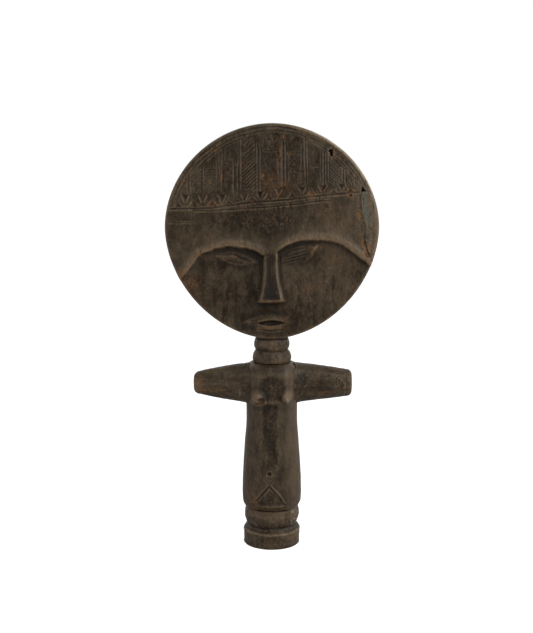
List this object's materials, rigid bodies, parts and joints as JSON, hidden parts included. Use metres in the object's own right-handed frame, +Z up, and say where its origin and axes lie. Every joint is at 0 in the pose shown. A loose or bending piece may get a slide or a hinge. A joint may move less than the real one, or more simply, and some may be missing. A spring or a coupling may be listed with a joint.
{
  "type": "akuaba figure",
  "caption": "Standing carved wooden figure with a flat round head leaning back on a ringed neck, short stub arms, a columnar body and a round foot to stand on.",
  "frame": {"origin": "centre of the round face under the foot, where the figure stands on a shelf", "axes": "+Z up along the body, -Y the way the face looks, +X to the right of someone facing the figure"},
  "size_m": [0.1632, 0.0462, 0.3298],
  "materials": {
    "stained_wood": "hand carved, dark stained and handled, worn to brown on its edges",
    "mended_wood": "smooth, bluish grey toned repair"
  },
  "bodies": {
    "root": {"foot": "stained_wood", "waist_bead": "stained_wood", "torso": "stained_wood", "arm_left": "stained_wood", "arm_right": "stained_wood", "neck_ring_lower": "stained_wood", "neck_ring_upper": "stained_wood", "head": "stained_wood", "mended_rim": "mended_wood"}
  },
  "joints": []
}
